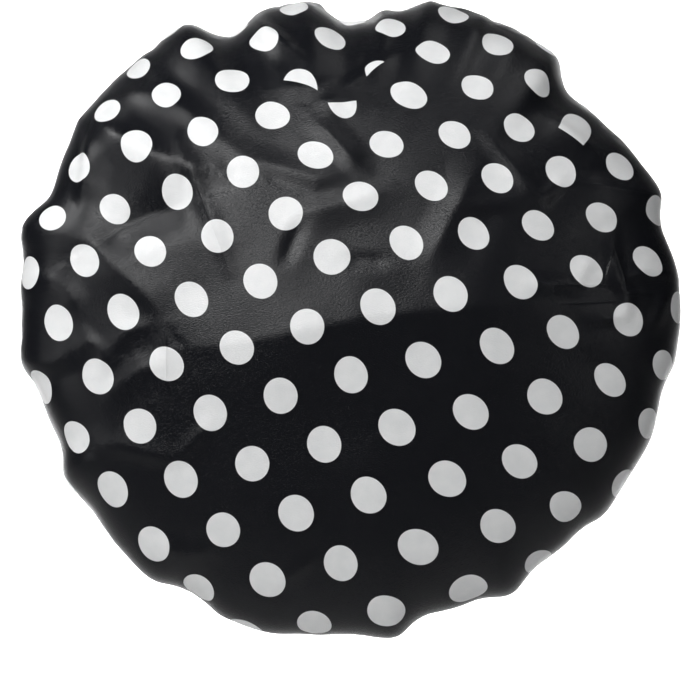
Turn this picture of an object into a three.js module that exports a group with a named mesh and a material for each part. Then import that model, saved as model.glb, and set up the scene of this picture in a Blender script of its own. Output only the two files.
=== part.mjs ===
// An oversized shower cap in its worn shape: a satin cover over a waterproof film liner, two round cuts
// gathered together at the edge onto a flat elastic, which a folded satin binding closes in.
// Millimetres, +Z up. The crown faces -Y, and the opening looks forward, +Y, and down.
// The origin is the middle of the elastic's loop.

import * as THREE from 'three';

// The puffed body, seen square to its crown
const bodyHalfWidth = 217;
const bodyHalfHeight = 211.5;

// The crown: its middle, and how far it falls forward from there to the widest outline
const crownReach = 140;
const crownRise = 20;
const topDepth = 138;
const sideDepth = 66;
const bottomDepth = 50;

// The skirt's rounded shoulder, from the widest outline forward
const topShoulder = 52;
const sideShoulder = 58;
const bottomShoulder = 30;

// The skirt's pleats, from the mean surface to a ridge, and its lead into the binding
const pleatHeight = 5.5;
const skirtLead = 36;

// The opening, an oval loop whose upper end leans forward
const openingHalfWidth = 78;
const openingHalfLength = 100;
const openingLeanDegrees = 35;

// The two sheets
const coverWall = 0.4;
const linerWall = 0.3;
const layerGap = 0.4;

// The elastic and the binding round it
const elasticWidth = 8;
const elasticThickness = 1;
const elasticRoom = 0.5;
const endGap = 0.4;
const bindingWall = 0.6;
const bindingReach = 5;
const mouthClearance = 0.35;
const tackRoom = 0.5;

// The threads
const threadDiameter = 0.5;
const tackThreadDiameter = 0.4;
const tackLength = 9;
const threadClearance = 0.3;

// Outward bulges and folds of the outline, as shares of the smooth oval, one at each column from +X over +Z
const outlineShares = [
  1.0, 1.01, 0.995, 1.02, 1.0, 0.985, 0.98, 1.035,
  1.035, 1.04, 1.02, 0.98, 0.965, 1.0, 1.005, 0.98,
  1.05, 1.04, 1.03, 1.02, 1.01, 1.005, 1.03, 1.01,
  1.0, 1.005, 0.98, 0.965, 1.0, 0.995, 1.005, 1.01,
  0.985, 1.0, 1.005, 0.99, 0.985, 0.995, 0.955, 0.955,
  0.975, 0.965, 0.96, 0.98, 0.98, 0.975, 0.98, 0.995,
];

// Rings of the crown as shares of the outline's radius, and of the skirt as shares of its run
const crownRingShares = [0.24, 0.46, 0.66, 0.83, 0.95, 1];
const skirtRingShares = [0.14, 0.3, 0.48, 0.66, 0.84, 1];
const pleatShares = [0.1, 0.35, 0.7, 1, 0.8, 0];

// How square the crown's section is, from round (2) to boxy
const topSquareness = 2;
const sideSquareness = 2.4;
const bottomSquareness = 3.2;

const bodyColumns = outlineShares.length;
const rimColumns = 72;
const threadSides = 5;
const tackTurns = 3;

// The opening's own directions: across, up along its slope, and out of it
const lean = THREE.MathUtils.degToRad(openingLeanDegrees);
const across = new THREE.Vector3(1, 0, 0);
const upSlope = new THREE.Vector3(0, Math.sin(lean), Math.cos(lean));
const outOfOpening = new THREE.Vector3(0, Math.cos(lean), -Math.sin(lean));

// Half the thickness of the two sheets where they lie flat together in the binding
const stackHalf = (coverWall + layerGap + linerWall) / 2;
const sheetEdgeFront = -elasticWidth / 2 - elasticRoom;
const mouthFront = sheetEdgeFront - bindingReach;

// A point of the rim: out is away from the loop's middle line, front is out of the opening
function rimPoint(angle, out, front) {
  const along = new THREE.Vector3()
    .addScaledVector(across, openingHalfWidth * Math.cos(angle))
    .addScaledVector(upSlope, openingHalfLength * Math.sin(angle));
  const outward = new THREE.Vector3()
    .addScaledVector(across, openingHalfLength * Math.cos(angle))
    .addScaledVector(upSlope, openingHalfWidth * Math.sin(angle))
    .normalize();
  return along.addScaledVector(outward, out).addScaledVector(outOfOpening, front);
}

// A value that differs at the top, the sides and the bottom, blended smoothly round the body
function blendRound(angle, top, side, bottom) {
  const height = Math.sin(angle);
  const end = height > 0 ? top : bottom;
  return side + (end - side) * height * height;
}

function outlineRadius(angle, share) {
  const smooth = 1 / Math.hypot(Math.cos(angle) / bodyHalfWidth, Math.sin(angle) / bodyHalfHeight);
  return smooth * share;
}

function outlineY(angle) {
  return blendRound(angle, topDepth, sideDepth, bottomDepth) - crownReach;
}

// A point of the crown, where share runs from its middle, 0, to the widest outline, 1
function crownPoint(column, share) {
  const angle = (column / bodyColumns) * 2 * Math.PI;
  const foldShare = 1 + (outlineShares[column] - 1) * share ** 3;
  const radius = outlineRadius(angle, foldShare) * share;
  const squareness = blendRound(angle, topSquareness, sideSquareness, bottomSquareness);
  const fall = 1 - (1 - share ** squareness) ** (1 / squareness);
  return new THREE.Vector3(
    radius * Math.cos(angle),
    (outlineY(angle) + crownReach) * fall - crownReach,
    radius * Math.sin(angle) + crownRise * (1 - share),
  );
}

// A point of the skirt, from the outline, 0, round its shoulder and in to the binding's mouth, 1
function skirtPoint(column, share) {
  const angle = (column / bodyColumns) * 2 * Math.PI;
  const start = crownPoint(column, 1);
  const shoulder = start.clone();
  shoulder.y += blendRound(angle, topShoulder, sideShoulder, bottomShoulder);
  const end = rimPoint(angle, stackHalf, mouthFront);
  const lead = rimPoint(angle, stackHalf, mouthFront - skirtLead);
  return new THREE.CubicBezierCurve3(start, shoulder, lead, end).getPoint(share);
}

// Unit normals of a grid of rings, facing away from the inside of the cap
function gridNormals(rings) {
  return rings.map((ring, level) => ring.map((point, column) => {
    const next = ring[(column + 1) % ring.length];
    const previous = ring[(column + ring.length - 1) % ring.length];
    const inner = rings[Math.max(level - 1, 0)][column];
    const outer = rings[Math.min(level + 1, rings.length - 1)][column];
    const round = next.clone().sub(previous);
    const down = outer.clone().sub(inner);
    return down.cross(round).normalize();
  }));
}

function moveAlong(rings, normals, distance) {
  return rings.map((ring, level) => ring.map(
    (point, column) => point.clone().addScaledVector(normals[level][column], distance(level, column)),
  ));
}

// The cover's outer face: smooth rings, then pleats that start at the shoulder and end in the binding
function coverRings() {
  const columns = Array.from({ length: bodyColumns }, (_, column) => column);
  const crown = crownRingShares.map((share) => columns.map((column) => crownPoint(column, share)));
  const skirt = skirtRingShares.map((share) => columns.map((column) => skirtPoint(column, share)));
  const edge = columns.map((column) => (
    rimPoint((column / bodyColumns) * 2 * Math.PI, stackHalf, sheetEdgeFront)));
  const smooth = [...crown, ...skirt, edge];
  return moveAlong(smooth, gridNormals(smooth), (level, column) => {
    const share = pleatShares[level - crown.length] ?? 0;
    const side = column % 2 === 0 ? 1 : -1;
    return share * pleatHeight * side;
  });
}

// A closed geometry from corner points and triangles, with its faces pointing out
function closedGeometry(points, triangles) {
  const volume = triangles.reduce((sum, [a, b, c]) => (
    sum + points[a].dot(points[b].clone().cross(points[c]))), 0);
  const index = triangles.flatMap(([a, b, c]) => (volume > 0 ? [a, b, c] : [a, c, b]));
  const geometry = new THREE.BufferGeometry().setFromPoints(points);
  geometry.setIndex(index);
  geometry.computeVertexNormals();
  return geometry;
}

// Two triangles for each cell between two rings of point numbers
function bandTriangles(first, second) {
  return first.flatMap((_, k) => {
    const next = (k + 1) % first.length;
    return [[first[k], first[next], second[next]], [first[k], second[next], second[k]]];
  });
}

// One sheet: an outer and an inner skin of rings, each closed at the crown, joined along the cut edge
function sheetGeometry(outerRings, outerTop, innerRings, innerTop) {
  const points = [];
  const number = (ring) => ring.map((point) => points.push(point) - 1);
  const outer = outerRings.map(number);
  const inner = innerRings.map(number);
  const [outerPole, innerPole] = number([outerTop, innerTop]);
  const skin = (rings, pole) => [
    ...rings[0].map((corner, k) => [pole, corner, rings[0][(k + 1) % rings[0].length]]),
    ...rings.slice(1).flatMap((ring, level) => bandTriangles(ring, rings[level])),
  ];
  const flipped = skin(inner, innerPole).map(([a, b, c]) => [a, c, b]);
  const edge = bandTriangles(inner[inner.length - 1], outer[outer.length - 1]);
  return closedGeometry(points, [...skin(outer, outerPole), ...flipped, ...edge]);
}

// A bar whose sections are rings of points: a closed loop, or open with flat ends
function barGeometry(sections, isLoop) {
  const points = [];
  const rings = sections.map((section) => section.map((point) => points.push(point) - 1));
  const pairs = isLoop ? rings.length : rings.length - 1;
  const sides = Array.from({ length: pairs }, (_, k) => (
    bandTriangles(rings[k], rings[(k + 1) % rings.length]))).flat();
  const cap = (ring) => ring.slice(2).map((corner, k) => [ring[0], ring[k + 1], corner]);
  const ends = isLoop ? [] : [
    ...cap(rings[0]).map(([a, b, c]) => [a, c, b]),
    ...cap(rings[rings.length - 1]),
  ];
  return closedGeometry(points, [...sides, ...ends]);
}

// A bar round the rim from a section of [out, front] points
function rimBar(section, startAngle, endAngle, isLoop) {
  const steps = isLoop ? rimColumns : rimColumns + 1;
  const sections = Array.from({ length: steps }, (_, k) => {
    const angle = startAngle + ((endAngle - startAngle) * k) / rimColumns;
    return section.map(([out, front]) => rimPoint(angle, out, front));
  });
  return barGeometry(sections, isLoop);
}

function roundSection(out, front, radius) {
  return Array.from({ length: threadSides }, (_, k) => {
    const angle = (k / threadSides) * 2 * Math.PI;
    return [out + radius * Math.cos(angle), front + radius * Math.sin(angle)];
  });
}

const crownMiddle = new THREE.Vector3(0, -crownReach, crownRise);
const outerFace = coverRings();
const outerNormals = gridNormals(outerFace);

function sheetBetween(shallow, deep) {
  const layer = (depth) => moveAlong(outerFace, outerNormals, () => -depth);
  const middle = (depth) => crownMiddle.clone().add(new THREE.Vector3(0, depth, 0));
  return sheetGeometry(layer(shallow), middle(shallow), layer(deep), middle(deep));
}

function outerCover() {
  return sheetBetween(0, coverWall);
}

function waterproofLiner() {
  const depth = coverWall + layerGap;
  return sheetBetween(depth, depth + linerWall);
}

// The binding's inner faces: wide round the elastic and its tack, closer at the mouth
const roomHalf = elasticThickness / 2 + tackRoom + tackThreadDiameter;
const mouthHalf = stackHalf + mouthClearance;
const foldFront = elasticWidth / 2 + elasticRoom;

function edgeBinding() {
  const innerSide = (sign) => [
    [sign * mouthHalf, mouthFront],
    [sign * roomHalf, -elasticWidth / 2],
    [sign * roomHalf, foldFront - elasticRoom],
    [sign * roomHalf / 2, foldFront],
  ];
  const outerSide = (sign) => [
    [sign * (mouthHalf + bindingWall), mouthFront],
    [sign * (roomHalf + bindingWall), -elasticWidth / 2],
    [sign * (roomHalf + bindingWall), foldFront - elasticRoom],
    [sign * (roomHalf / 2 + bindingWall / 2), foldFront + bindingWall],
  ];
  const section = [
    ...outerSide(1), ...outerSide(-1).reverse(),
    ...innerSide(-1), ...innerSide(1).reverse(),
  ];
  return rimBar(section, 0, 2 * Math.PI, true);
}

// The elastic starts and ends at the nape, where its ends butt
const napeAngle = -Math.PI / 2;

function elasticBand() {
  const half = elasticThickness / 2;
  const section = [
    [half, -elasticWidth / 2], [half, elasticWidth / 2],
    [-half, elasticWidth / 2], [-half, -elasticWidth / 2],
  ];
  const gapAngle = endGap / openingHalfWidth;
  return rimBar(section, napeAngle + gapAngle / 2, napeAngle + 2 * Math.PI - gapAngle / 2, false);
}

// A zigzag of thread over the butted ends, on the side of the elastic that faces the head
function elasticJoinTack() {
  const strokes = 2 * tackTurns;
  const step = tackLength / strokes;
  const room = elasticWidth - 2 * elasticRoom;
  const slant = Math.atan2(step, room);
  const miter = tackThreadDiameter / 2 / Math.sin(slant);
  const reach = room / 2 - miter;
  const corners = Array.from({ length: strokes + 1 }, (_, k) => (
    new THREE.Vector2((k - strokes / 2) * step, k % 2 === 0 ? -reach : reach)));
  const shifted = (shift) => corners.map((corner) => new THREE.Vector2(corner.x, corner.y + shift));
  const zigzag = new THREE.Shape([...shifted(-miter), ...shifted(miter).reverse()]);
  const geometry = new THREE.ExtrudeGeometry(zigzag, { depth: tackThreadDiameter, bevelEnabled: false });
  const face = -elasticThickness / 2 - threadClearance;
  const place = geometry.getAttribute('position');
  for (let k = 0; k < place.count; k += 1) {
    const angle = napeAngle + place.getX(k) / openingHalfWidth;
    const point = rimPoint(angle, face - place.getZ(k), place.getY(k));
    place.setXYZ(k, point.x, point.y, point.z);
  }
  geometry.computeVertexNormals();
  return geometry;
}

// A row of stitching on one face of the binding, between the elastic and the mouth
function stitchRow(sign) {
  const front = -elasticWidth / 2 - elasticRoom - bindingReach / 2;
  const run = (-elasticWidth / 2 - front) / (-elasticWidth / 2 - mouthFront);
  const face = roomHalf + (mouthHalf - roomHalf) * run + bindingWall;
  const out = face + threadClearance + threadDiameter / 2;
  return rimBar(roundSection(sign * out, front, threadDiameter / 2), 0, 2 * Math.PI, true);
}

const finishes = {
  satin: new THREE.MeshStandardMaterial({ color: 0x18181c, roughness: 0.35, metalness: 0 }),
  film: new THREE.MeshStandardMaterial({ color: 0xe6e9e8, roughness: 0.4, metalness: 0 }),
  tape: new THREE.MeshStandardMaterial({ color: 0x151518, roughness: 0.4, metalness: 0 }),
  elastic: new THREE.MeshStandardMaterial({ color: 0xf1f0ea, roughness: 0.8, metalness: 0 }),
  thread: new THREE.MeshStandardMaterial({ color: 0x101012, roughness: 0.6, metalness: 0 }),
};

function named(name, geometry, finish) {
  const mesh = new THREE.Mesh(geometry, finishes[finish]);
  mesh.name = name;
  return mesh;
}

const cap = new THREE.Group();
cap.name = 'shower_cap';

const sheets = new THREE.Group();
sheets.add(named('outer_cover', outerCover(), 'satin'));
sheets.add(named('waterproof_liner', waterproofLiner(), 'film'));

const rim = new THREE.Group();
rim.add(named('edge_binding', edgeBinding(), 'tape'));
rim.add(named('elastic_band', elasticBand(), 'elastic'));
rim.add(named('elastic_join_tack', elasticJoinTack(), 'thread'));
rim.add(named('binding_needle_thread', stitchRow(1), 'thread'));
rim.add(named('binding_bobbin_thread', stitchRow(-1), 'thread'));

cap.add(sheets, rim);

export default cap;
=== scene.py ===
# An oversized shower cap in its worn shape: dotted satin over a waterproof film, both gathered at the edge
# onto an elastic that a folded satin binding closes in. Metres, +Z up, seen square to its crown along +Y.
import math

import bmesh
import bpy
import numpy as np
from mathutils import Matrix, Vector, noise


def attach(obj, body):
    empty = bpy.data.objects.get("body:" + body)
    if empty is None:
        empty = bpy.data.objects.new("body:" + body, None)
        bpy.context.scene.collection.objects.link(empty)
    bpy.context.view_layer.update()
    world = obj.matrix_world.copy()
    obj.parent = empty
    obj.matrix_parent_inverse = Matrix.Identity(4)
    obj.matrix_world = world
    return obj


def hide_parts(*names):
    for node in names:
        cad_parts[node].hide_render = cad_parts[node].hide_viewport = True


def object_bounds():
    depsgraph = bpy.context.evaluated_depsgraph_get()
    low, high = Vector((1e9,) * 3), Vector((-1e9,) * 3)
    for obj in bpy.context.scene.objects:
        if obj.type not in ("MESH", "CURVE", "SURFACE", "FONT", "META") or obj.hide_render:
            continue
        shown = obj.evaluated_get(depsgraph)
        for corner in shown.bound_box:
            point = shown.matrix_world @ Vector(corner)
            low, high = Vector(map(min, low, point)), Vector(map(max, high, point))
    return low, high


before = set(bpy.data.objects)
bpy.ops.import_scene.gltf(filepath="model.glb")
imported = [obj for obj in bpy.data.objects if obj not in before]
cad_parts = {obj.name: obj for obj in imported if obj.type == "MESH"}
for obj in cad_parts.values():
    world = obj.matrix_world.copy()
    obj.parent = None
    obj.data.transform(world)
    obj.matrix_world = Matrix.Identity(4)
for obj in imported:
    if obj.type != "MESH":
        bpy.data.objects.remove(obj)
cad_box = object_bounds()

MM = 0.001
FULL_TURN = 2 * math.pi

# The puffed body of the cap and its opening, as the solids have them
BODY_HALF_WIDTH = 217 * MM
BODY_HALF_HEIGHT = 211.5 * MM
CROWN_REACH = 140 * MM
CROWN_RISE = 20 * MM
OPENING_HALF_WIDTH = 78 * MM
OPENING_HALF_LENGTH = 100 * MM
OPENING_LEAN = math.radians(35)
SKIRT_LEAD = 36 * MM
SHEET_EDGE_FRONT = -4.5 * MM
MOUTH_FRONT = -9.5 * MM

# The cap's section at the top, the sides and the bottom: its depth, how far it runs straight on past the
# outline, and its squareness
TOP = {"depth": 138 * MM, "shoulder": 52 * MM, "squareness": 2.0}
SIDE = {"depth": 66 * MM, "shoulder": 58 * MM, "squareness": 2.4}
BOTTOM = {"depth": 50 * MM, "shoulder": 30 * MM, "squareness": 3.2}

# Bulges and folds of the outline as shares of its smooth oval, evenly round from +X over +Z, and the power of
# the share of the radius by which they fade towards the crown's middle
OUTLINE_SHARES = (
    1.0, 1.0, 0.985, 1.02, 1.005, 0.99, 0.985, 1.052,
    1.057, 1.055, 1.05, 1.0, 0.955, 1.03, 1.03, 0.985,
    1.075, 1.052, 1.047, 1.035, 1.01, 0.995, 1.04, 1.01,
    1.0, 1.005, 0.973, 0.969, 1.005, 0.991, 1.002, 1.013,
    0.984, 1.005, 1.008, 0.99, 0.982, 1.002, 0.95, 0.955,
    0.987, 0.958, 0.96, 0.982, 0.977, 0.984, 0.971, 0.996,
)
OUTLINE_FADE = 3

# The round cuts, and how far the liner lies inside the cover
SHEET_RADIUS = 415 * MM
SHEET_RINGS = 74
LAYER_STEP = 0.75 * MM

# How far the cloth of the crown lies drawn in towards the middle, and turned round it, by the time it reaches
# SLACK_REACH from the middle: shares of SLACK and TURN, evenly round from +X over +Z
SLACK_REACH = 230 * MM
SLACK = 20 * MM
TURN = 0.1
SLACK_SHARES = (0.45, 1.3, 1.5, 1.7, 0.9, 0.8, 0.5, 0.5, 0.1, 0, -0.3, -0.3)
TURN_SHARES = (0.05, -0.25, -0.25, -0.05, 0, -0.55, -1.3, -0.95, -0.5, -0.05, 0.85, 0.55)

# The photograph's frame: its size, the cap's middle in it, and the real size of one of its pixels
PHOTO_SIDE_PX = 700
CAP_MIDDLE_PX = (351, 316.5)
PIXEL = 0.66 * MM
CAMERA_DISTANCE = 1.9
OUTLINE_Y = -70 * MM

UP_SLOPE = np.array([0, math.sin(OPENING_LEAN), math.cos(OPENING_LEAN)])
OUT_OF_OPENING = np.array([0, math.cos(OPENING_LEAN), -math.sin(OPENING_LEAN)])
ACROSS = np.array([1.0, 0, 0])


# Form of the cap
def ramp(value, low, high):
    """Rises smoothly from 0 at low to 1 at high."""
    step = np.clip((value - low) / (high - low), 0, 1)
    return step * step * (3 - 2 * step)


def waves(level, angle, rows):
    """The level with sine waves round the cap added. Each row gives a height, a count and a start."""
    for height, count, start in rows:
        level = level + height * np.sin(count * angle + start)
    return level


def blend_round(angle, key):
    height = math.sin(angle)
    end = TOP[key] if height > 0 else BOTTOM[key]
    return SIDE[key] + (end - SIDE[key]) * height * height


def round_share(shares, angle):
    """The share at an angle, from shares that lie evenly round the cap."""
    place = (angle / FULL_TURN * len(shares)) % len(shares)
    first = int(place)
    mix = place - first
    mix = mix * mix * (3 - 2 * mix)
    return shares[first] * (1 - mix) + shares[(first + 1) % len(shares)] * mix


def outline_share(angle):
    return round_share(OUTLINE_SHARES, angle)


def one_by_oval(angle):
    """One divided by the smooth outline's radius at an angle."""
    return math.hypot(math.cos(angle) / BODY_HALF_WIDTH, math.sin(angle) / BODY_HALF_HEIGHT)


def rim_point(angle, out, front):
    """A point by the opening's loop: out is away from its middle line, front is out of the opening."""
    on_loop = OPENING_HALF_WIDTH * math.cos(angle) * ACROSS + OPENING_HALF_LENGTH * math.sin(angle) * UP_SLOPE
    away = OPENING_HALF_LENGTH * math.cos(angle) * ACROSS + OPENING_HALF_WIDTH * math.sin(angle) * UP_SLOPE
    return on_loop + out * away / np.linalg.norm(away) + front * OUT_OF_OPENING


def crown_point(angle, share):
    fold = 1 + (outline_share(angle) - 1) * share ** OUTLINE_FADE
    radius = fold * share / one_by_oval(angle)
    squareness = blend_round(angle, "squareness")
    fall = 1 - (1 - share ** squareness) ** (1 / squareness)
    return np.array([
        radius * math.cos(angle),
        blend_round(angle, "depth") * fall - CROWN_REACH,
        radius * math.sin(angle) + CROWN_RISE * (1 - share),
    ])


def meridian(angle, steps=40):
    """The line from the crown's middle over the outline and round to the cut edge, in the binding."""
    points = [crown_point(angle, math.sin(step / steps * math.pi / 2)) for step in range(steps + 1)]
    start = points[-1]
    shoulder = start + np.array([0, blend_round(angle, "shoulder"), 0])
    lead = rim_point(angle, 0, MOUTH_FRONT - SKIRT_LEAD)
    mouth = rim_point(angle, 0, MOUTH_FRONT)
    for step in range(1, steps + 1):
        t = step / steps
        rest = 1 - t
        points.append(
            rest ** 3 * start + 3 * rest ** 2 * t * shoulder + 3 * rest * t * t * lead + t ** 3 * mouth
        )
    points.append(rim_point(angle, 0, SHEET_EDGE_FRONT))
    return np.array(points)


def run_along(line):
    """How far along a line each of its points lies."""
    return np.concatenate([[0], np.cumsum(np.linalg.norm(np.diff(line, axis=0), axis=1))])


class CapForm:
    """Where a point of the flat round cut lies on the cap, by its share of the radius and its angle."""

    def __init__(self, columns=432):
        self.lines = [meridian(FULL_TURN * column / columns) for column in range(columns)]
        self.runs = [run_along(line) for line in self.lines]

    def point(self, share, angle):
        radius = share * SHEET_RADIUS
        reached = float(ramp(radius, 0, SLACK_REACH))
        slack = SLACK * round_share(SLACK_SHARES, angle) * reached
        rest = max(0, radius - SLACK_REACH) / (SHEET_RADIUS - SLACK_REACH)
        angle += TURN * round_share(TURN_SHARES, angle) * reached * (1 - float(ramp(rest, 0, 1)))
        place = (angle / FULL_TURN * len(self.lines)) % len(self.lines)
        first = int(place)
        mix = place - first
        found = np.zeros(3)
        for column, weight in ((first, 1 - mix), ((first + 1) % len(self.lines), mix)):
            drawn = min(radius, SLACK_REACH) - slack
            run = drawn + (self.runs[column][-1] - drawn) * rest
            found += weight * np.array([
                np.interp(run, self.runs[column], self.lines[column][:, axis]) for axis in range(3)
            ])
        return found


# Meshes
def new_piece(name, bm):
    mesh = bpy.data.meshes.new(name)
    bm.to_mesh(mesh)
    bm.free()
    piece = bpy.data.objects.new(name, mesh)
    bpy.context.collection.objects.link(piece)
    shade_smooth(mesh)
    return piece


def shade_smooth(mesh):
    mesh.polygons.foreach_set("use_smooth", [True] * len(mesh.polygons))


def get_points(mesh):
    flat = np.zeros(len(mesh.vertices) * 3)
    mesh.vertices.foreach_get("co", flat)
    return flat.reshape(-1, 3)


def set_points(mesh, points):
    mesh.vertices.foreach_set("co", np.asarray(points).ravel())
    mesh.update()


def get_normals(mesh):
    flat = np.zeros(len(mesh.vertices) * 3)
    mesh.vertex_normals.foreach_get("vector", flat)
    return flat.reshape(-1, 3)


def get_corners(mesh):
    """The number of the point at each corner of each face."""
    corners = np.zeros(len(mesh.loops), dtype=int)
    mesh.loops.foreach_get("vertex_index", corners)
    return corners


def smoothed(mesh, values, rounds, keep=None):
    """The values after rounds of averaging with the neighbours; points where keep is 1 stay."""
    edges = np.zeros(len(mesh.edges) * 2, dtype=int)
    mesh.edges.foreach_get("vertices", edges)
    first, second = edges.reshape(-1, 2).T
    ends = np.concatenate([first, second])
    others = np.concatenate([second, first])
    count = len(values)
    degree = np.bincount(ends, minlength=count)
    free = 1 if keep is None else 1 - keep
    values = values.copy()
    for _ in range(rounds):
        for axis in range(3):
            mean = np.bincount(ends, values[others, axis], count) / degree
            values[:, axis] += free * (mean - values[:, axis])
    return values


def flat_cut():
    """The round cut, lying flat: a hexagon of even triangles, pushed out to a disc. Returns its piece, its
    points on the disc, and each point's share of the radius and angle."""
    bm = bmesh.new()
    bmesh.ops.create_circle(bm, cap_ends=True, cap_tris=True, segments=6, radius=SHEET_RADIUS)
    bmesh.ops.subdivide_edges(bm, edges=bm.edges[:], cuts=SHEET_RINGS - 1, use_grid_fill=True)
    piece = new_piece("cut_sheet", bm)
    points = get_points(piece.data)
    sextant = math.pi / 3
    corner = math.pi / 6
    rounding = 1e-9
    angle = np.arctan2(points[:, 1], points[:, 0]) % FULL_TURN
    number = np.floor((angle - corner) / sextant + rounding)
    local = angle - corner - number * sextant - sextant / 2
    radius = np.hypot(points[:, 0], points[:, 1])
    share = np.clip(np.cos(local) * radius / (SHEET_RADIUS * math.cos(sextant / 2)), 0, 1)
    along = 0.5 + np.tan(local) / (2 * math.tan(sextant / 2))
    turned = corner + (number + along) * sextant
    flat = np.stack([share * np.cos(turned), 0 * share, share * np.sin(turned)], 1) * SHEET_RADIUS
    return piece, flat, share, turned


def face_outwards(mesh):
    """The crown's middle has to look back, to -Y."""
    middle = min(mesh.polygons, key=lambda face: face.center.y)
    if middle.normal.y > 0:
        mesh.flip_normals()


# Cloth. A pair of shares of the cut's radius says where something starts and where it is full. A row of a
# wave gives its height, its count round the cap and its start.
PLEATS = 58
PLEAT_HEIGHT = 12 * MM
PLEAT_GROW_SHARES = (0.6, 0.95)
PLEAT_SINK_SHARES = (0.94, 0.985)
PLEAT_UNEVENNESS = ((0.25, 11, 2), (0.2, 17, 0))
PLEAT_DRIFT = ((2.2, 3, 0), (1.3, 7, 1))
RUFFLE = 0.6 * MM
RUFFLE_SEED = 3
RUFFLE_SINK_SHARES = (0.87, 0.97)
HELD_SHARE = 0.978
CLOTH_FRAMES = 30
SKIRT_SHARES = (0.5, 0.66)
CROWN_CALM_ROUNDS = 10
SWELL_ROUNDS = 400
EDGE_WAVES = 128
EDGE_WAVE_HEIGHT = 1.3 * MM
EDGE_WAVE_SHARES = (0.955, 0.98)

# The cloth moves to fit the outline between these shares of the body's half width
FIT_SHARES = (0.45, 0.95)


def simulate_gathers(piece, flat, share):
    """Lets the flat cut, held by its edge in the binding and puffed from inside, find its own folds."""
    mesh = piece.data
    basis = piece.shape_key_add(name="gathered")
    basis.data.foreach_set("co", get_points(mesh).ravel())
    cut = piece.shape_key_add(name="cut")
    cut.data.foreach_set("co", flat.ravel())
    cut.value = 0
    held = piece.vertex_groups.new(name="held")
    held.add([int(point) for point in np.nonzero(share > HELD_SHARE)[0]], 1.0, "REPLACE")
    cloth = piece.modifiers.new("cloth", "CLOTH")
    settings = cloth.settings
    settings.quality = 6
    settings.mass = 0.03
    settings.tension_stiffness = 60
    settings.compression_stiffness = 60
    settings.shear_stiffness = 20
    settings.bending_stiffness = 3
    settings.tension_damping = 5
    settings.compression_damping = 5
    settings.shear_damping = 5
    settings.bending_damping = 0.5
    settings.air_damping = 2
    settings.vertex_group_mass = held.name
    settings.rest_shape_key = cut
    settings.use_pressure = True
    settings.uniform_pressure_force = 0.8
    settings.effector_weights.gravity = 0
    cloth.collision_settings.use_collision = False
    cloth.point_cache.frame_end = CLOTH_FRAMES
    scene = bpy.context.scene
    for step in range(1, CLOTH_FRAMES + 1):
        scene.frame_set(step)
    result = piece.evaluated_get(bpy.context.evaluated_depsgraph_get()).data
    points = get_points(result).copy()
    piece.modifiers.remove(cloth)
    scene.frame_set(1)
    piece.shape_key_clear()
    return points


def gathered_sheet(name):
    """The cover's mesh: the cap's form, with the folds that the cloth found."""
    piece, flat, share, angle = flat_cut()
    piece.name = name
    mesh = piece.data
    mesh.name = name
    form = CapForm()
    start = np.array([form.point(s, a) for s, a in zip(share, angle)])
    uv = mesh.uv_layers.new(name="cut")
    uv.data.foreach_set("uv", flat[get_corners(mesh)][:, [0, 2]].ravel())
    set_points(mesh, start)
    face_outwards(mesh)
    normals = get_normals(mesh)
    growing = ramp(share, *PLEAT_GROW_SHARES) * (1 - ramp(share, *PLEAT_SINK_SHARES))
    uneven = waves(1, angle, PLEAT_UNEVENNESS)
    wave = np.sin(waves(PLEATS * angle, angle, PLEAT_DRIFT))
    ruffle = np.random.default_rng(RUFFLE_SEED).normal(0, RUFFLE, len(share))
    ruffle = ruffle * (1 - ramp(share, *RUFFLE_SINK_SHARES))
    set_points(mesh, start + normals * (PLEAT_HEIGHT * growing * uneven * wave + ruffle)[:, None])
    moved = simulate_gathers(piece, flat, share) - start
    skirt = ramp(share, *SKIRT_SHARES)
    folds = smoothed(mesh, moved, CROWN_CALM_ROUNDS, skirt) - smoothed(mesh, moved, SWELL_ROUNDS)
    square = (folds * normals).sum(1)[:, None] * normals
    set_points(mesh, fit_outline(start + square + (folds - square) * skirt[:, None]))
    return piece


def fit_outline(points, bins=144):
    """Moves the cloth in or out, seen square to the crown, until its outline has its bulges and folds."""
    radius = np.hypot(points[:, 0], points[:, 2])
    angle = np.arctan2(points[:, 2], points[:, 0]) % FULL_TURN
    number = np.minimum((angle / FULL_TURN * bins).astype(int), bins - 1)
    reach = np.zeros(bins)
    np.maximum.at(reach, number, radius)
    middles = (np.arange(bins) + 0.5) / bins * FULL_TURN
    wanted = np.array([outline_share(middle) / one_by_oval(middle) for middle in middles])
    change = np.interp(angle, middles, wanted / reach, period=FULL_TURN) - 1
    scale = 1 + change * ramp(radius, *(edge * BODY_HALF_WIDTH for edge in FIT_SHARES))
    return points * np.stack([scale, np.ones_like(scale), scale], 1)


def subdivided(piece):
    """The piece with one level of subdivision applied to its mesh."""
    modifier = piece.modifiers.new("finer", "SUBSURF")
    modifier.levels = 1
    modifier.render_levels = 1
    modifier.boundary_smooth = "PRESERVE_CORNERS"
    fine = bpy.data.meshes.new_from_object(piece.evaluated_get(bpy.context.evaluated_depsgraph_get()))
    piece.modifiers.remove(modifier)
    old = piece.data
    piece.data = fine
    bpy.data.meshes.remove(old)
    return piece


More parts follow.
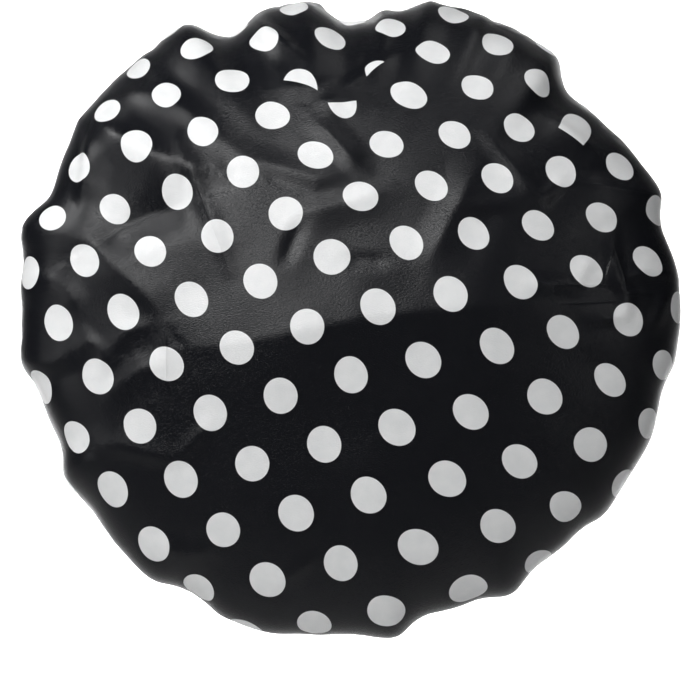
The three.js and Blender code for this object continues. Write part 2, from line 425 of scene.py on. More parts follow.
def edge_waves(mesh):
    """Crimps the sheet's edge where the binding holds it."""
    uv = np.zeros(len(mesh.loops) * 2)
    mesh.uv_layers["cut"].data.foreach_get("uv", uv)
    place = np.zeros((len(mesh.vertices), 2))
    place[get_corners(mesh)] = uv.reshape(-1, 2)
    share = np.hypot(*place.T) / SHEET_RADIUS
    angle = np.arctan2(place[:, 1], place[:, 0])
    height = EDGE_WAVE_HEIGHT * np.sin(EDGE_WAVES * angle)
    points = get_points(mesh)
    for number in np.nonzero(share > EDGE_WAVE_SHARES[0])[0]:
        away = rim_point(angle[number], 1, 0) - rim_point(angle[number], 0, 0)
        points[number] += away * height[number] * ramp(share[number], *EDGE_WAVE_SHARES)
    set_points(mesh, points)


# Relief of the crown: creases from packing and wear. A crease's crest is rounded, its sides fall away by a
# power, and it fades at its two ends, between shares of its run.
CREST_PX = 2.2
CREASE_FALL = 1.5
CREASE_START_SHARES = (-0.25, 0.3)
CREASE_END_SHARES = (-1.25, -0.7)

# How squarely the cloth faces back where creases start to show, and where they show in full
CROWN_FACING = (-0.1, 0.25)

# Softer unevenness of the worn cloth: its height and the size of its swells
SWELLS = ((1.6 * MM, 75 * MM), (0.7 * MM, 32 * MM))


class Crease:
    """A raised line on the cloth, or a furrow where the height is below zero. It runs through pixels of the
    photograph and slopes down over a width on its left and one on its right, seen along the run."""

    def __init__(self, height, left, right, *line_px):
        self.height = height * MM
        self.left = left * MM
        self.right = right * MM
        self.line_px = line_px

    def relief(self, place_px):
        nearest = np.full(len(place_px), np.inf)
        side = np.zeros(len(place_px))
        run = np.zeros(len(place_px))
        lengths = [math.dist(a, b) for a, b in zip(self.line_px, self.line_px[1:])]
        gone = 0
        for start, end, length in zip(self.line_px, self.line_px[1:], lengths):
            along = (np.array(end) - start) / length
            offset = place_px - start
            part = np.clip(offset @ along, 0, length)
            rest = offset - part[:, None] * along
            distance = np.hypot(rest[:, 0], rest[:, 1])
            closer = distance < nearest
            nearest = np.where(closer, distance, nearest)
            side = np.where(closer, along[0] * rest[:, 1] - along[1] * rest[:, 0], side)
            run = np.where(closer, (gone + part) / sum(lengths), run)
            gone += length
        width = np.where(side < 0, self.left, self.right) / PIXEL
        crest = np.sqrt(nearest ** 2 + CREST_PX ** 2) - CREST_PX
        taper = ramp(run, *CREASE_START_SHARES) * ramp(-run, *CREASE_END_SHARES)
        return self.height * taper * np.clip(1 - crest / width, 0, 1) ** CREASE_FALL


# Height and the widths on the left and the right in millimetres, then the run in pixels
CREASES = {
    "packing_fold": Crease(1.6, 9, 7, (178, 143), (189, 168), (197, 186), (207, 213), (216, 235), (229, 271)),
    "fold_star_right": Crease(1.5, 12, 7, (189, 168), (226, 171)),
    "fold_star_left": Crease(8.0, 26, 46, (98, 128), (124, 143), (156, 159), (189, 168)),
    "upper_left_brow": Crease(2.6, 16, 34, (112, 92), (150, 98), (185, 112), (215, 138), (250, 165)),
    "left_edge_ridge": Crease(3.2, 42, 18, (45, 232), (70, 236), (93, 244), (110, 264), (126, 277),
                              (148, 296), (166, 320)),
    "left_furrow": Crease(-7.0, 46, 24, (93, 244), (120, 226), (150, 213), (182, 205)),
    "left_facet": Crease(2.0, 12, 20, (42, 278), (65, 291), (76, 310)),
    "left_facet_foot": Crease(2.2, 20, 12, (22, 362), (50, 364), (75, 352)),
    "left_star_long": Crease(1.5, 8, 9, (80, 338), (106, 354)),
    "left_star_up": Crease(1.5, 8, 10, (106, 354), (125, 333), (150, 325)),
    "left_star_down": Crease(1.2, 7, 7, (106, 354), (104, 374)),
    "left_low_ridge": Crease(1.8, 8, 14, (112, 394), (132, 376), (154, 363)),
    "dot_crease": Crease(1.2, 9, 9, (165, 328), (165, 382)),
    "low_left_line": Crease(1.8, 13, 8, (100, 444), (135, 452), (176, 462)),
    "low_left_ray": Crease(1.4, 8, 8, (180, 457), (208, 428)),
    "foot_left_line": Crease(1.8, 9, 14, (165, 548), (185, 556), (208, 552)),
    "foot_ray": Crease(1.2, 7, 7, (285, 582), (312, 560)),
    "top_streak": Crease(2.4, 13, 9, (315, 124), (326, 132), (340, 147), (358, 169)),
    "top_band": Crease(2.0, 14, 9, (248, 162), (285, 170), (315, 180), (337, 177)),
    "middle_furrow": Crease(-1.5, 8, 8, (301, 224), (285, 262)),
    "right_of_middle_furrow": Crease(-1.2, 8, 8, (345, 262), (388, 262)),
    "upper_middle_line": Crease(1.5, 9, 16, (296, 216), (350, 203), (388, 191)),
    "main_fold": Crease(6.0, 60, 75, (166, 352), (232, 346), (270, 339), (320, 329), (370, 319), (420, 313),
                        (474, 309), (530, 300), (562, 288)),
    "shine_ridge": Crease(2.4, 22, 18, (476, 170), (455, 212), (430, 262)),
    "right_star_left": Crease(1.8, 8, 14, (541, 201), (500, 204), (468, 207)),
    "right_star_up": Crease(1.8, 10, 10, (541, 201), (515, 168), (486, 134)),
    "right_star_right": Crease(1.2, 7, 7, (541, 201), (563, 182)),
    "right_brow": Crease(1.8, 10, 10, (586, 181), (612, 190), (652, 196)),
    "right_crumple_down": Crease(1.8, 7, 7, (613, 234), (612, 252), (616, 279), (628, 297)),
    "right_crumple_across": Crease(1.4, 7, 9, (616, 279), (648, 271), (676, 277)),
    "right_crumple_foot": Crease(1.6, 9, 6, (592, 321), (624, 317), (628, 297)),
    "right_edge_line": Crease(1.4, 7, 7, (654, 328), (667, 292)),
    "right_dot_crease": Crease(1.3, 8, 8, (576, 289), (588, 260)),
    "right_middle_line": Crease(1.7, 9, 8, (530, 285), (570, 285)),
    "top_tuck": Crease(1.6, 6, 20, (316, 105), (343, 102), (370, 105)),
    "top_tuck_right": Crease(1.8, 7, 18, (338, 94), (365, 76), (398, 54)),
    "top_tuck_left": Crease(1.2, 6, 15, (280, 88), (322, 87), (340, 80)),
    "outline_tuck": Crease(3.5, 6, 12, (256, 22), (283, 43), (297, 52)),
    "right_tuck": Crease(2.2, 6, 18, (550, 121), (590, 150)),
    "left_steep": Crease(3.2, 16, 6, (94, 138), (90, 168), (82, 198)),
}


def photo_place(points):
    """Where points lie in the photograph, in its pixels."""
    scale = CAMERA_DISTANCE / (points[:, 1] - OUTLINE_Y + CAMERA_DISTANCE) / PIXEL
    return np.stack([CAP_MIDDLE_PX[0] + points[:, 0] * scale, CAP_MIDDLE_PX[1] - points[:, 2] * scale], 1)


def wear_crown(mesh):
    """Lifts and lowers the crown's cloth along its creases and swells."""
    points = get_points(mesh)
    normals = get_normals(mesh)
    crown = ramp(-normals[:, 1], *CROWN_FACING)
    height = sum(crease.relief(photo_place(points)) for crease in CREASES.values())
    for swell, size in SWELLS:
        height = height + swell * np.array([noise.noise(Vector(point) / size) for point in points])
    set_points(mesh, points + normals * (height * crown)[:, None])


# Print on the flat cut. Its rows slope, each row starts a slanting step from the one above, and the dots are
# slightly oval. DOT_EDGE_SHARE is how soft the edge of the ink is.
DOT_PITCH = 48.9 * MM
DOT_SLOPE = math.radians(14.8)
DOT_STEP = 43.4 * MM
DOT_STEP_SLOPE = math.radians(-47.2)
DOT_ORIGIN = (29.4 * MM, -89.6 * MM)
DOT_HALF_LENGTH = 12.0 * MM
DOT_HALF_WIDTH = 11.1 * MM
DOT_LEAN = math.radians(124)
DOT_EDGE_SHARE = 0.012
INK_PATCH = 9 * MM

# Small tucks that hide a strip of the print, in millimetres on the flat cut: the middle of each line, its
# turn in degrees, its half length, how far from it the cloth is drawn in, and how much cloth it hides above
# and below
TUCKS_MM = {
    "top_tuck": ((-4, 144.5), 10, 34, 35, 12, 8),
    "top_tuck_right": ((16, 176.5), 44, 45, 50, 15, 12),
    "top_tuck_left": ((-32, 157.5), -5, 42, 85, 15, 0),
    "right_tuck": ((158, 129), -33, 28, 30, 13, 7),
}

# Thin lines that packing pressed into the cloth, in millimetres on the flat cut: the middle of each, its turn
# in degrees and its half length
PRESS_LINES_MM = {
    "packing_fold": ((-93.6, 48.7), -68.6, 42),
    "dot_crease": ((-124.5, -45), 90, 26),
    "right_ray": ((176.5, 30), 69, 20),
    "right_ray_low": ((184.5, 28), -82, 22),
    "right_line": ((156, 13.5), 5, 28),
    "right_line_foot": ((163, 2), 7, 30),
    "right_line_edge": ((198, 11), 2, 14),
    "right_brow": ((189, 93), -5, 26),
}
PRESS_HEIGHT = 0.28 * MM
PRESS_HALF_WIDTH_MM = 2.2

# A line's strength rises from its end to this share of its half length, and falls away aside by a power
LINE_FULL_SHARE = 0.4
LINE_FALL = 2

# Size and depth of each surface's grain. Satin's floats lie about 0.15 mm apart, too fine to show in the
# render, so they are drawn ten times as coarse, and three times as long as wide.
SATIN_FLOAT = 1.6 * MM
SATIN_FLOAT_DEPTH = 0.2 * MM
SATIN_STRETCH = (1, 3, 1)
FILM_RIPPLE = 7 * MM
FILM_RIPPLE_DEPTH = 0.5 * MM
TAPE_WEFT = 0.5 * MM
TAPE_WEFT_DEPTH = 0.05 * MM
ELASTIC_YARN = 0.6 * MM
ELASTIC_YARN_DEPTH = 0.15 * MM
THREAD_TWIST = 2.2 * MM
THREAD_TWIST_DEPTH = 0.08 * MM
EVEN = (1, 1, 1)


# Materials
def colour(hex_code):
    """An sRGB hex colour as the linear values that a shader takes."""
    parts = [int(hex_code[start:start + 2], 16) / 255 for start in (1, 3, 5)]
    linear = [part / 12.92 if part <= 0.04045 else ((part + 0.055) / 1.055) ** 2.4 for part in parts]
    return (*linear, 1.0)


def add_node(tree, kind, links=None, **settings):
    """Adds a node. Settings name its properties or, with in_ before it, an input; links feed its inputs."""
    node = tree.nodes.new(kind)
    for key, value in settings.items():
        if key.startswith("in_"):
            name = key[3:]
            socket = node.inputs[int(name)] if name.isdigit() else node.inputs[name.replace("_", " ")]
            socket.default_value = value
        else:
            setattr(node, key, value)
    for name, source in (links or {}).items():
        tree.links.new(source, node.inputs[name])
    return node


def plain_material(name, hex_code, roughness, specular):
    material = bpy.data.materials.new(name)
    material.use_nodes = True
    tree = material.node_tree
    shader = tree.nodes["Principled BSDF"]
    shader.inputs["Base Color"].default_value = colour(hex_code)
    shader.inputs["Roughness"].default_value = roughness
    shader.inputs["Specular IOR Level"].default_value = specular
    return material, tree, shader


def grain(tree, shader, place, size, depth, stretch=EVEN):
    """A fine relief of the surface: noise of one grain size, drawn out along an axis."""
    drawn = add_node(tree, "ShaderNodeVectorMath", {0: place}, operation="MULTIPLY", in_1=stretch)
    patches = add_node(tree, "ShaderNodeTexNoise", {"Vector": drawn.outputs[0]}, in_Scale=1 / size,
                       in_Detail=2)
    bump = add_node(tree, "ShaderNodeBump", {"Height": patches.outputs["Fac"]}, in_Strength=1,
                    in_Distance=depth)
    tree.links.new(bump.outputs[0], shader.inputs["Normal"])
    return bump


def on_line(tree, place, middle, turn, half_length, half_width):
    """How far across a straight line a place on the cut lies, as a share of its half width, and how strongly
    the place belongs to the line. The line's sizes are in millimetres."""
    framed = add_node(tree, "ShaderNodeMapping", {"Vector": place}, vector_type="TEXTURE",
                      in_Location=(middle[0] * MM, middle[1] * MM, 0), in_Rotation=(0, 0, math.radians(turn)),
                      in_Scale=(half_length * MM, half_width * MM, 1))
    along, across, _ = add_node(tree, "ShaderNodeSeparateXYZ", {0: framed.outputs[0]}).outputs
    to_end = add_node(tree, "ShaderNodeMath", {0: along}, operation="ABSOLUTE")
    ends = add_node(tree, "ShaderNodeMapRange", {"Value": to_end.outputs[0]}, interpolation_type="SMOOTHSTEP",
                    in_1=1, in_2=LINE_FULL_SHARE, in_3=0, in_4=1)
    aside = add_node(tree, "ShaderNodeMath", {0: across}, operation="ABSOLUTE")
    near = add_node(tree, "ShaderNodeMath", {1: aside.outputs[0]}, operation="SUBTRACT", use_clamp=True,
                    in_0=1)
    bent = add_node(tree, "ShaderNodeMath", {0: near.outputs[0]}, operation="POWER", in_1=LINE_FALL)
    share = add_node(tree, "ShaderNodeMath", {0: bent.outputs[0], 1: ends.outputs[0]}, operation="MULTIPLY")
    return across, share.outputs[0]


def tucked(tree, place):
    """The print where small tucks hide a strip of the cloth: both sides of each line move in to it."""
    for middle, turn, half_length, reach, above, below in TUCKS_MM.values():
        across, share = on_line(tree, place, middle, turn, half_length, reach)
        side = add_node(tree, "ShaderNodeMath", {0: across}, operation="GREATER_THAN", in_1=0)
        hidden = add_node(tree, "ShaderNodeMapRange", {"Value": side.outputs[0]}, in_3=-below * MM,
                          in_4=above * MM)
        amount = add_node(tree, "ShaderNodeMath", {0: share, 1: hidden.outputs[0]}, operation="MULTIPLY")
        square = (-math.sin(math.radians(turn)), math.cos(math.radians(turn)), 0)
        shift = add_node(tree, "ShaderNodeVectorMath", {"Scale": amount.outputs[0]}, operation="SCALE",
                         in_0=square)
        moved = add_node(tree, "ShaderNodeVectorMath", {0: place, 1: shift.outputs[0]}, operation="ADD")
        place = moved.outputs[0]
    return place


def pressed_lines(tree, place):
    """The height of the thin lines that packing left in the cloth, as a share of PRESS_HEIGHT."""
    height = None
    for middle, turn, half_length in PRESS_LINES_MM.values():
        share = on_line(tree, place, middle, turn, half_length, PRESS_HALF_WIDTH_MM)[1]
        if height is None:
            height = share
        else:
            height = add_node(tree, "ShaderNodeMath", {0: height, 1: share}, operation="MAXIMUM").outputs[0]
    return height


def dot_print(tree, uv):
    """How much of the ground the ink covers: 1 inside a dot and 0 between the dots."""
    row = Vector((DOT_PITCH * math.cos(DOT_SLOPE), DOT_PITCH * math.sin(DOT_SLOPE), 0))
    step = Vector((DOT_STEP * math.cos(DOT_STEP_SLOPE), DOT_STEP * math.sin(DOT_STEP_SLOPE), 0))
    cell = row.x * step.y - row.y * step.x
    place = add_node(tree, "ShaderNodeVectorMath", {0: tucked(tree, uv)}, operation="SUBTRACT",
                     in_1=(*DOT_ORIGIN, 0))
    sides = []
    for side, across in ((row, (step.y / cell, -step.x / cell, 0)), (step, (-row.y / cell, row.x / cell, 0))):
        count = add_node(tree, "ShaderNodeVectorMath", {0: place.outputs[0]}, operation="DOT_PRODUCT",
                         in_1=across)
        part = add_node(tree, "ShaderNodeMath", {0: count.outputs["Value"]}, operation="WRAP", in_1=0.5,
                        in_2=-0.5)
        sides.append(add_node(tree, "ShaderNodeVectorMath", {"Scale": part.outputs[0]}, operation="SCALE",
                              in_0=side))
    from_middle = add_node(tree, "ShaderNodeVectorMath", {0: sides[0].outputs[0], 1: sides[1].outputs[0]},
                           operation="ADD")
    oval = add_node(tree, "ShaderNodeMapping", {"Vector": from_middle.outputs[0]}, vector_type="TEXTURE",
                    in_Rotation=(0, 0, DOT_LEAN), in_Scale=(DOT_HALF_LENGTH, DOT_HALF_WIDTH, 1))
    reach = add_node(tree, "ShaderNodeVectorMath", {0: oval.outputs[0]}, operation="LENGTH")
    edge = add_node(tree, "ShaderNodeMapRange", {"Value": reach.outputs["Value"]},
                    interpolation_type="SMOOTHSTEP", in_1=1 - DOT_EDGE_SHARE, in_2=1 + DOT_EDGE_SHARE, in_3=1,
                    in_4=0)
    return edge.outputs[0]


def polyester_satin():
    """Black polyester satin, woven in long floats and screen printed with white dots. The floats make it
    glossy and draw its highlights out, the ink is slightly uneven, and thin pressed lines catch light."""
    material, tree, shader = plain_material("black_polyester_satin_white_dots", "#15161a", 0.22, 0.75)
    uv = add_node(tree, "ShaderNodeUVMap", uv_map="cut").outputs["UV"]
    ink = add_node(tree, "ShaderNodeTexNoise", {"Vector": uv}, in_Scale=1 / INK_PATCH, in_Detail=3)
    white = add_node(tree, "ShaderNodeMix", {0: ink.outputs["Fac"]}, data_type="RGBA",
                     in_6=colour("#e9ebec"), in_7=colour("#fbfbfb"))
    printed = add_node(tree, "ShaderNodeMix", {0: dot_print(tree, uv), 7: white.outputs[2]}, data_type="RGBA",
                       in_6=colour("#15161a"))
    tree.links.new(printed.outputs[2], shader.inputs["Base Color"])
    shader.inputs["Specular Tint"].default_value = colour("#aaaaaa")
    shader.inputs["Anisotropic"].default_value = 0.35
    floats = add_node(tree, "ShaderNodeTangent", direction_type="UV_MAP", uv_map="cut")
    tree.links.new(floats.outputs[0], shader.inputs["Tangent"])
    bump = grain(tree, shader, uv, SATIN_FLOAT, SATIN_FLOAT_DEPTH, SATIN_STRETCH)
    lines = add_node(tree, "ShaderNodeBump", {"Height": pressed_lines(tree, uv)}, in_Strength=1,
                     in_Distance=PRESS_HEIGHT)
    tree.links.new(lines.outputs[0], bump.inputs["Normal"])
    return material


def peva_film():
    """PEVA film, a soft clear plastic that is rolled thin and goes milky: it shines softly, ripples a little,
    and lets some light through."""
    material, tree, shader = plain_material("milky_peva_film", "#e3e7e6", 0.27, 0.5)
    shader.inputs["Transmission Weight"].default_value = 0.25
    shader.inputs["IOR"].default_value = 1.48
    place = add_node(tree, "ShaderNodeTexCoord").outputs["Object"]
    grain(tree, shader, place, FILM_RIPPLE, FILM_RIPPLE_DEPTH)
    return material


def satin_tape():
    """Satin tape of black polyester, folded and pulled tight: duller than the cover, with its fine weft."""
    material, tree, shader = plain_material("black_satin_tape", "#0b0b0d", 0.38, 0.35)
    place = add_node(tree, "ShaderNodeTexCoord").outputs["Object"]
    grain(tree, shader, place, TAPE_WEFT, TAPE_WEFT_DEPTH)
    return material


def woven_elastic():
    """Woven elastic, rubber covered with white polyester yarn: dull, with a fuzz that catches light."""
    material, tree, shader = plain_material("white_woven_elastic", "#f0efeb", 0.85, 0.3)
    shader.inputs["Sheen Weight"].default_value = 0.4
    place = add_node(tree, "ShaderNodeTexCoord").outputs["Object"]
    grain(tree, shader, place, ELASTIC_YARN, ELASTIC_YARN_DEPTH)
    return material


def spun_thread():
    """Spun polyester sewing thread, black: nearly matt, with the roll of its twist."""
    material, tree, shader = plain_material("black_spun_thread", "#101012", 0.6, 0.35)
    place = add_node(tree, "ShaderNodeTexCoord").outputs["Object"]
    twist = add_node(tree, "ShaderNodeTexWave", {"Vector": place}, in_Scale=1 / THREAD_TWIST,
                     bands_direction="DIAGONAL")
    bump = add_node(tree, "ShaderNodeBump", {"Height": twist.outputs["Fac"]}, in_Strength=0.6,
                    in_Distance=THREAD_TWIST_DEPTH)
    tree.links.new(bump.outputs[0], shader.inputs["Normal"])
    return material


# The two sheets
cover = subdivided(gathered_sheet("satin_cover"))
wear_crown(cover.data)
shade_smooth(cover.data)
cover.data.materials.append(polyester_satin())

liner = cover.copy()
liner.data = cover.data.copy()
liner.name = "film_liner"
liner.data.name = "film_liner"
bpy.context.collection.objects.link(liner)
set_points(liner.data, get_points(cover.data) - LAYER_STEP * get_normals(cover.data))
edge_waves(cover.data)
edge_waves(liner.data)
liner.data.materials.clear()
liner.data.materials.append(peva_film())
for piece, node, slot in ((cover, "outer_cover", "printed_satin"), (liner, "waterproof_liner", "liner_film")):
    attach(piece, "root")
    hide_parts(node)


# Rim. Its pieces are spun round a circle of SPIN_RADIUS, and their points then move to the opening's loop.
SPIN_RADIUS = 89 * MM
MERGE_DISTANCE = 0.001 * MM
STITCH_FRONT = -7 * MM

BINDING_HALF = 2.6 * MM
BINDING_WALL = 0.5 * MM
BINDING_NOSE_FRONT = 5.1 * MM
BINDING_COLUMNS = 960

# The tape puckers round the elastic in slanting waves. At the stitches it lies calmer, with a dimple.
PUCKERS = 137
PUCKER_HEIGHT = 0.35 * MM
PUCKER_DRIFT = ((1.7, 9, 0),)
PUCKER_UNEVENNESS = ((0.4, 53, 1),)
PUCKER_SLANT = 2.5 * MM
SEWN_CALM = 0.75
SEWN_REACH = 1.1 * MM
DIMPLE_DEPTH = 0.45 * MM
DIMPLE_REACH = 0.9 * MM

ELASTIC_HALF_WIDTH = 4 * MM
ELASTIC_HALF_THICKNESS = 0.5 * MM
ELASTIC_COLUMNS = 360
ELASTIC_STEPS = 20
ELASTIC_RIBS = 6
ELASTIC_RIB_SHARE = 0.18
ELASTIC_EDGE_SHARE = 0.5
ELASTIC_EDGE_SQUARENESS = 20
ELASTIC_HALF_GAP = 0.9 * MM

STITCH_PITCH = 3 * MM
STITCH_LENGTH = 2.7 * MM
STITCH_SINK = 0.42 * MM
STITCH_RISE_SHARE = 0.6
STITCH_PLUMPNESS = 1.1
STITCH_SLANT = 0.06
STITCH_SLANT_TURN = 2.4
THREAD_RADIUS = 0.25 * MM
SMALL_TURN = 0.01


def rim_sweep(name, section, columns):
    """A closed section of (out, front) points swept round the opening. Returns the piece with the angle, out
    and front of each point, still to be placed."""
    bm = bmesh.new()
    bmesh.ops.create_grid(bm, x_segments=columns, y_segments=len(section), size=1)
    for vertex in bm.verts:
        angle = FULL_TURN * (vertex.co.x + 1) / 2
        out, front = section[round((vertex.co.y + 1) / 2 * len(section)) % len(section)]
        radius = SPIN_RADIUS + out
        vertex.co = (radius * math.cos(angle), radius * math.sin(angle), front)
    bmesh.ops.remove_doubles(bm, verts=bm.verts[:], dist=MERGE_DISTANCE)
    bmesh.ops.recalc_face_normals(bm, faces=bm.faces[:])
    piece = new_piece(name, bm)
    return (piece, *spun_places(piece))


def spun_places(piece):
    """The angle, out and front of each point of a piece that is still spun round its circle."""
    points = get_points(piece.data)
    out = np.hypot(points[:, 0], points[:, 1]) - SPIN_RADIUS
    return np.arctan2(points[:, 1], points[:, 0]), out, points[:, 2]


def place_on_rim(piece, angle, out, front):
    set_points(piece.data, np.array([rim_point(a, o, f) for a, o, f in zip(angle, out, front)]))


def fold_line(half, nose, steps=9):
    """The folded tape's line in section, from its mouth on one side over the nose to the other side."""
    straight = [(half, MOUTH_FRONT + (nose - half - MOUTH_FRONT) * step / steps) for step in range(steps)]
    turns = [math.pi * step / (2 * steps) for step in range(2 * steps + 1)]
    nose_line = [(half * math.cos(turn), nose - half + half * math.sin(turn)) for turn in turns]
    return straight + nose_line + [(-out, front) for out, front in reversed(straight)]


def edge_binding(material):
    inner = fold_line(BINDING_HALF - BINDING_WALL, BINDING_NOSE_FRONT - BINDING_WALL)
    section = fold_line(BINDING_HALF, BINDING_NOSE_FRONT) + inner[::-1]
    piece, angle, out, front = rim_sweep("satin_edge_binding", section, BINDING_COLUMNS)
    pucker = np.sin(waves(PUCKERS * angle, angle, PUCKER_DRIFT) + front / PUCKER_SLANT)
    pucker = waves(pucker, angle, PUCKER_UNEVENNESS)
    sewn = 1 - SEWN_CALM * np.exp(-((front - STITCH_FRONT) / SEWN_REACH) ** 2)
    side = np.clip(out / BINDING_HALF, -1, 1)
    swell = PUCKER_HEIGHT * pucker * sewn
    dimple = DIMPLE_DEPTH * np.exp(-((front - STITCH_FRONT) / DIMPLE_REACH) ** 2)
    nose_swell = (front > 0) * swell * (1 - np.abs(side))
    place_on_rim(piece, angle, out + side * (swell - dimple), front + nose_swell)
    piece.data.materials.append(material)
    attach(piece, "root")
    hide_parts("edge_binding")


def elastic_band(material):
    """The ribbed elastic, with its two cut ends at the nape, where the tack joins them."""
    top = []
    for step in range(ELASTIC_STEPS * 2 + 1):
        across = -1 + step / ELASTIC_STEPS
        rib = abs(math.sin(ELASTIC_RIBS * math.pi * (across + 1) / 2))
        swell = 1 - ELASTIC_RIB_SHARE + ELASTIC_RIB_SHARE * rib
        edge = 1 - across ** ELASTIC_EDGE_SQUARENESS * ELASTIC_EDGE_SHARE
        top.append((ELASTIC_HALF_THICKNESS * swell * edge, across * ELASTIC_HALF_WIDTH))
    section = top + [(-out, front) for out, front in reversed(top)]
    piece = rim_sweep("woven_elastic_band", section, ELASTIC_COLUMNS)[0]
    bm = bmesh.new()
    bm.from_mesh(piece.data)
    middles = {face: face.calc_center_median() for face in bm.faces}
    seam = [face for face, middle in middles.items() if abs(middle.x) < ELASTIC_HALF_GAP and middle.y < 0]
    bmesh.ops.delete(bm, geom=seam, context="FACES")
    bmesh.ops.holes_fill(bm, edges=[edge for edge in bm.edges if edge.is_boundary], sides=0)
    bm.to_mesh(piece.data)
    bm.free()
    place_on_rim(piece, *spun_places(piece))
    shade_smooth(piece.data)
    piece.data.materials.append(material)
    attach(piece, "root")
    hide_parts("elastic_band")


def stitch_row(name, node, side, material):
    """Stitches that lie on one side of the binding; each dips into the tape at its ends."""
    turns = np.linspace(0, FULL_TURN, 2 * ELASTIC_COLUMNS + 1)
    run = run_along(np.array([rim_point(turn, side * BINDING_HALF, STITCH_FRONT) for turn in turns]))
    count = round(run[-1] / STITCH_PITCH)
    stitch_bm = bmesh.new()
    bmesh.ops.create_uvsphere(stitch_bm, u_segments=12, v_segments=8, radius=1)
    one_stitch = bpy.data.meshes.new("stitch")
    stitch_bm.to_mesh(one_stitch)
    stitch_bm.free()
    out = side * (BINDING_HALF - STITCH_SINK + THREAD_RADIUS * STITCH_RISE_SHARE)
    bm = bmesh.new()
    for number in range(count):
        angle = np.interp((number + 0.5) / count * run[-1], run, turns)
        middle = rim_point(angle, out, STITCH_FRONT)
        away = Vector(rim_point(angle, side, 0) - rim_point(angle, 0, 0)).normalized()
        along = Vector(rim_point(angle + SMALL_TURN, 0, 0) - rim_point(angle - SMALL_TURN, 0, 0)).normalized()
        slant = STITCH_SLANT * math.sin(number * STITCH_SLANT_TURN)
        along = (along + slant * Vector(OUT_OF_OPENING)).normalized()
        across = away.cross(along).normalized()
        turn = Matrix((along, across, away)).transposed().to_4x4()
        shape = Matrix.Diagonal((STITCH_LENGTH / 2, THREAD_RADIUS, THREAD_RADIUS * STITCH_PLUMPNESS, 1))
        stitch = one_stitch.copy()
        stitch.transform(Matrix.Translation(Vector(middle)) @ turn @ shape)
        bm.from_mesh(stitch)
        bpy.data.meshes.remove(stitch)
    bpy.data.meshes.remove(one_stitch)
    piece = new_piece(name, bm)
    piece.data.materials.append(material)
    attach(piece, "root")
    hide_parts(node)


thread = spun_thread()
edge_binding(satin_tape())
elastic_band(woven_elastic())
stitch_row("needle_stitches", "binding_needle_thread", 1, thread)
stitch_row("bobbin_stitches", "binding_bobbin_thread", -1, thread)
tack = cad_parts["elastic_join_tack"]
tack.data.materials.clear()
tack.data.materials.append(thread)


# Studio, in metres: a sheet of paper that lies well below the cap and sweeps up behind it. The studio is
# white to look at from every side, and gives hardly any light of its own.
FLOOR_DROP = 160 * MM
PAPER_NEAR = -4.0
PAPER_BEND = 1.6
PAPER_BEND_RADIUS = 1.2
PAPER_TOP = 4.0
PAPER_HALF_WIDTH = 6.0
STUDIO_WHITE = 0.85
STUDIO_GLOW = 0.02

# Each softbox: its place, its two sides, its watts, its spread in degrees, and what it points at
SOFTBOXES = {
    "key_softbox": ((-0.5, -1.12, 0.72), (1.0, 0.7), 2.3, 60, (-0.12, -0.1, 0.13)),
    "left_softbox": ((-1.2, -0.4, 1.2), (0.6, 0.6), 1.2, 60, (-0.16, -0.1, 0.13)),
    "top_softbox": ((0.5, -0.2, 1.5), (1.0, 0.6), 0.4, 70, (0.1, -0.05, 0.15)),
    "side_softbox": ((-1.3, -0.7, 0.08), (0.4, 0.5), 0.12, 50, (-0.19, -0.07, 0)),
    "fill_softbox": ((1.1, -1.2, 0.35), (0.5, 0.5), 0.09, 40, (0, -0.08, 0)),
    "backdrop_softbox_left": ((-1.3, 1.1, 1.9), (0.8, 0.8), 40, 90, (-0.2, 2.1, -0.2)),
    "backdrop_softbox_right": ((1.3, 1.1, 1.9), (0.8, 0.8), 40, 90, (0.2, 2.1, -0.2)),
}
SENSOR_WIDTH = 36


def white_paper():
    """Matt white background paper. It looks pale also where no softbox reaches it, and a camera behind or
    under it looks through it; neither changes the light that it throws on the cap."""
    material, tree, shader = plain_material("white_paper_backdrop", "#f4f4f4", 0.9, 0.2)
    shader.inputs["Emission Color"].default_value = colour("#ffffff")
    seen = add_node(tree, "ShaderNodeLightPath").outputs["Is Camera Ray"]
    pale = add_node(tree, "ShaderNodeMath", {0: seen}, operation="MULTIPLY", in_1=STUDIO_WHITE)
    tree.links.new(pale.outputs[0], shader.inputs["Emission Strength"])
    back = add_node(tree, "ShaderNodeNewGeometry").outputs["Backfacing"]
    through = add_node(tree, "ShaderNodeMath", {0: seen, 1: back}, operation="MULTIPLY")
    clear = add_node(tree, "ShaderNodeBsdfTransparent")
    one_way = add_node(tree, "ShaderNodeMixShader",
                       {0: through.outputs[0], 1: shader.outputs["BSDF"], 2: clear.outputs[0]})
    tree.links.new(one_way.outputs[0], tree.nodes["Material Output"].inputs["Surface"])
    return material


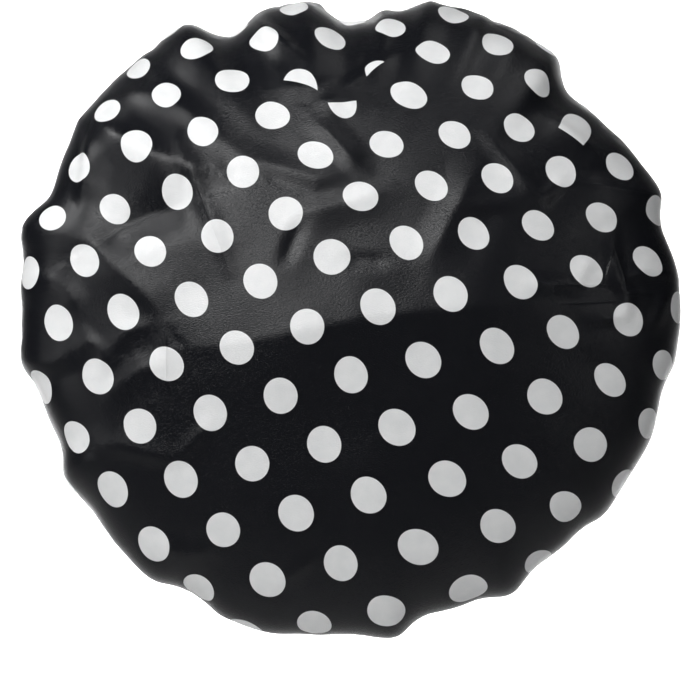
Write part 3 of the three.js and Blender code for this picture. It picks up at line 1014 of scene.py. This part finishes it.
def paper_sweep(floor_height):
    bm = bmesh.new()
    bmesh.ops.create_grid(bm, x_segments=1, y_segments=40, size=1)
    backdrop = new_piece("backdrop", bm)
    flat_run = PAPER_BEND - PAPER_NEAR
    bend_run = PAPER_BEND_RADIUS * math.pi / 2
    for vertex in backdrop.data.vertices:
        along = (vertex.co.y + 1) / 2 * (flat_run + bend_run + PAPER_TOP)
        if along < flat_run:
            y = PAPER_NEAR + along
            z = 0
        elif along < flat_run + bend_run:
            turn = (along - flat_run) / PAPER_BEND_RADIUS
            y = PAPER_BEND + PAPER_BEND_RADIUS * math.sin(turn)
            z = PAPER_BEND_RADIUS * (1 - math.cos(turn))
        else:
            y = PAPER_BEND + PAPER_BEND_RADIUS
            z = PAPER_BEND_RADIUS + along - flat_run - bend_run
        vertex.co = (vertex.co.x * PAPER_HALF_WIDTH, y, z + floor_height)
    backdrop.data.materials.append(white_paper())


def soft_light(name, place, size, power, spread, target):
    """A softbox with a grid over it that keeps its light within the spread."""
    data = bpy.data.lights.new(name, "AREA")
    data.spread = math.radians(spread)
    data.shape = "RECTANGLE"
    data.size, data.size_y = size
    data.energy = power
    light = bpy.data.objects.new(name, data)
    light.location = place
    light.rotation_euler = (Vector(target) - Vector(place)).to_track_quat("-Z", "Y").to_euler()
    bpy.context.collection.objects.link(light)


def studio_air():
    world = bpy.data.worlds.new("studio_air")
    bpy.context.scene.world = world
    world.use_nodes = True
    air = world.node_tree.nodes["Background"]
    air.inputs["Color"].default_value = colour("#ffffff")
    path = add_node(world.node_tree, "ShaderNodeLightPath")
    seen = add_node(world.node_tree, "ShaderNodeMath", {0: path.outputs["Is Camera Ray"]},
                    operation="MULTIPLY_ADD", in_1=STUDIO_WHITE, in_2=STUDIO_GLOW)
    world.node_tree.links.new(seen.outputs[0], air.inputs["Strength"])


def photo_camera():
    """Looks square at the crown, and frames it as the photograph does."""
    data = bpy.data.cameras.new("camera")
    camera = bpy.data.objects.new("camera", data)
    bpy.context.collection.objects.link(camera)
    middle_x = (PHOTO_SIDE_PX / 2 - CAP_MIDDLE_PX[0]) * PIXEL
    middle_z = (CAP_MIDDLE_PX[1] - PHOTO_SIDE_PX / 2) * PIXEL
    camera.location = (middle_x, OUTLINE_Y - CAMERA_DISTANCE, middle_z)
    camera.rotation_euler = (math.pi / 2, 0, 0)
    data.sensor_width = SENSOR_WIDTH
    data.lens = SENSOR_WIDTH * CAMERA_DISTANCE / (PHOTO_SIDE_PX * PIXEL)
    bpy.context.scene.camera = camera


paper_sweep(cad_box[0][2] - FLOOR_DROP)
for name, softbox in SOFTBOXES.items():
    soft_light(name, *softbox)
studio_air()
photo_camera()
bpy.context.scene.view_settings.view_transform = "Standard"
